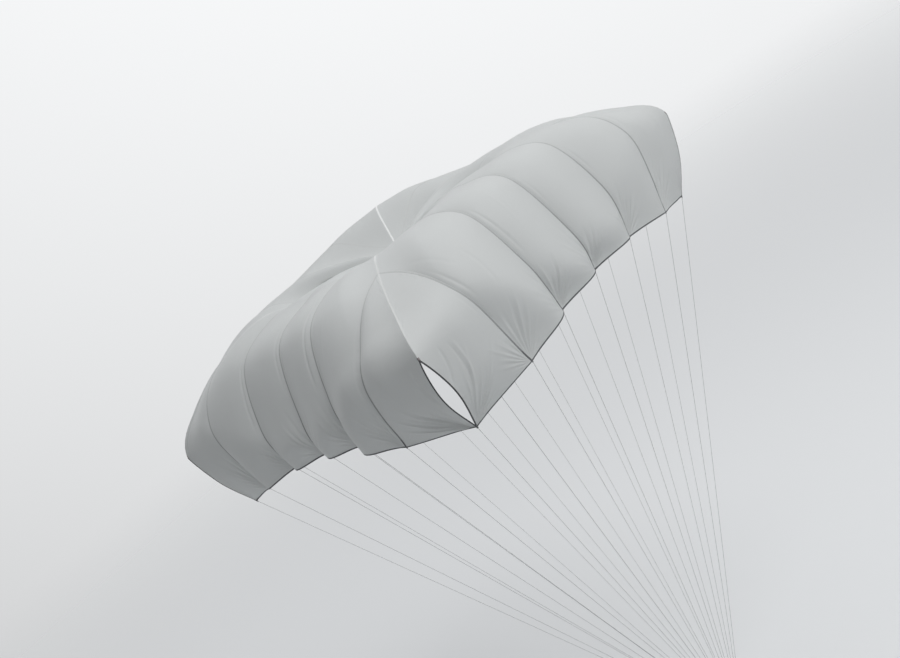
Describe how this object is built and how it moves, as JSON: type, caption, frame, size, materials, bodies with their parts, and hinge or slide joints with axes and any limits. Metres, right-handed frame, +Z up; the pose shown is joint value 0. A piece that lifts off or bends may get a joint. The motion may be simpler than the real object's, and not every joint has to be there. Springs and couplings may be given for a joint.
{
  "type": "reserve parachute",
  "caption": "Square reserve parachute in flight: billowed cloth sides with an open slot at each corner, taped crown, taut suspension lines and a centre line that run to one knotted riser loop.",
  "frame": {"origin": "where the riser loop bears on what holds it, on the canopy's axis", "axes": "+Z up along the canopy's axis from the riser to the crown; +X and +Y square to two of its four sides"},
  "size_m": [4.1524, 4.1894, 6.6688],
  "materials": {
    "ripstop cloth": "thin, matte, letting light through",
    "white tape": "woven, matte",
    "grey binding": "woven, matte",
    "grey line": "braided, matte",
    "black webbing": "woven, matte"
  },
  "bodies": {
    "root": {"gore_01": "ripstop cloth", "gore_02": "ripstop cloth", "gore_03": "ripstop cloth", "gore_04": "ripstop cloth", "gore_05": "ripstop cloth", "gore_06": "ripstop cloth", "gore_07": "ripstop cloth", "gore_08": "ripstop cloth", "gore_09": "ripstop cloth", "gore_10": "ripstop cloth", "gore_11": "ripstop cloth", "gore_12": "ripstop cloth", "gore_13": "ripstop cloth", "gore_14": "ripstop cloth", "gore_15": "ripstop cloth", "gore_16": "ripstop cloth", "gore_17": "ripstop cloth", "gore_18": "ripstop cloth", "gore_19": "ripstop cloth", "gore_20": "ripstop cloth", "gore_21": "ripstop cloth", "gore_22": "ripstop cloth", "gore_23": "ripstop cloth", "gore_24": "ripstop cloth", "crown_tape_1": "white tape", "crown_tape_2": "white tape", "slot_binding_1": "grey binding", "slot_binding_2": "grey binding", "slot_binding_3": "grey binding", "slot_binding_4": "grey binding", "line_01": "grey line", "line_02": "grey line", "line_03": "grey line", "line_04": "grey line", "line_05": "grey line", "line_06": "grey line", "line_07": "grey line", "line_08": "grey line", "line_09": "grey line", "line_10": "grey line", "line_11": "grey line", "line_12": "grey line", "line_13": "grey line", "line_14": "grey line", "line_15": "grey line", "line_16": "grey line", "line_17": "grey line", "line_18": "grey line", "line_19": "grey line", "line_20": "grey line", "line_21": "grey line", "line_22": "grey line", "line_23": "grey line", "line_24": "grey line", "centre_line": "grey line", "line_knot": "grey line", "riser_loop": "black webbing"}
  },
  "joints": []
}
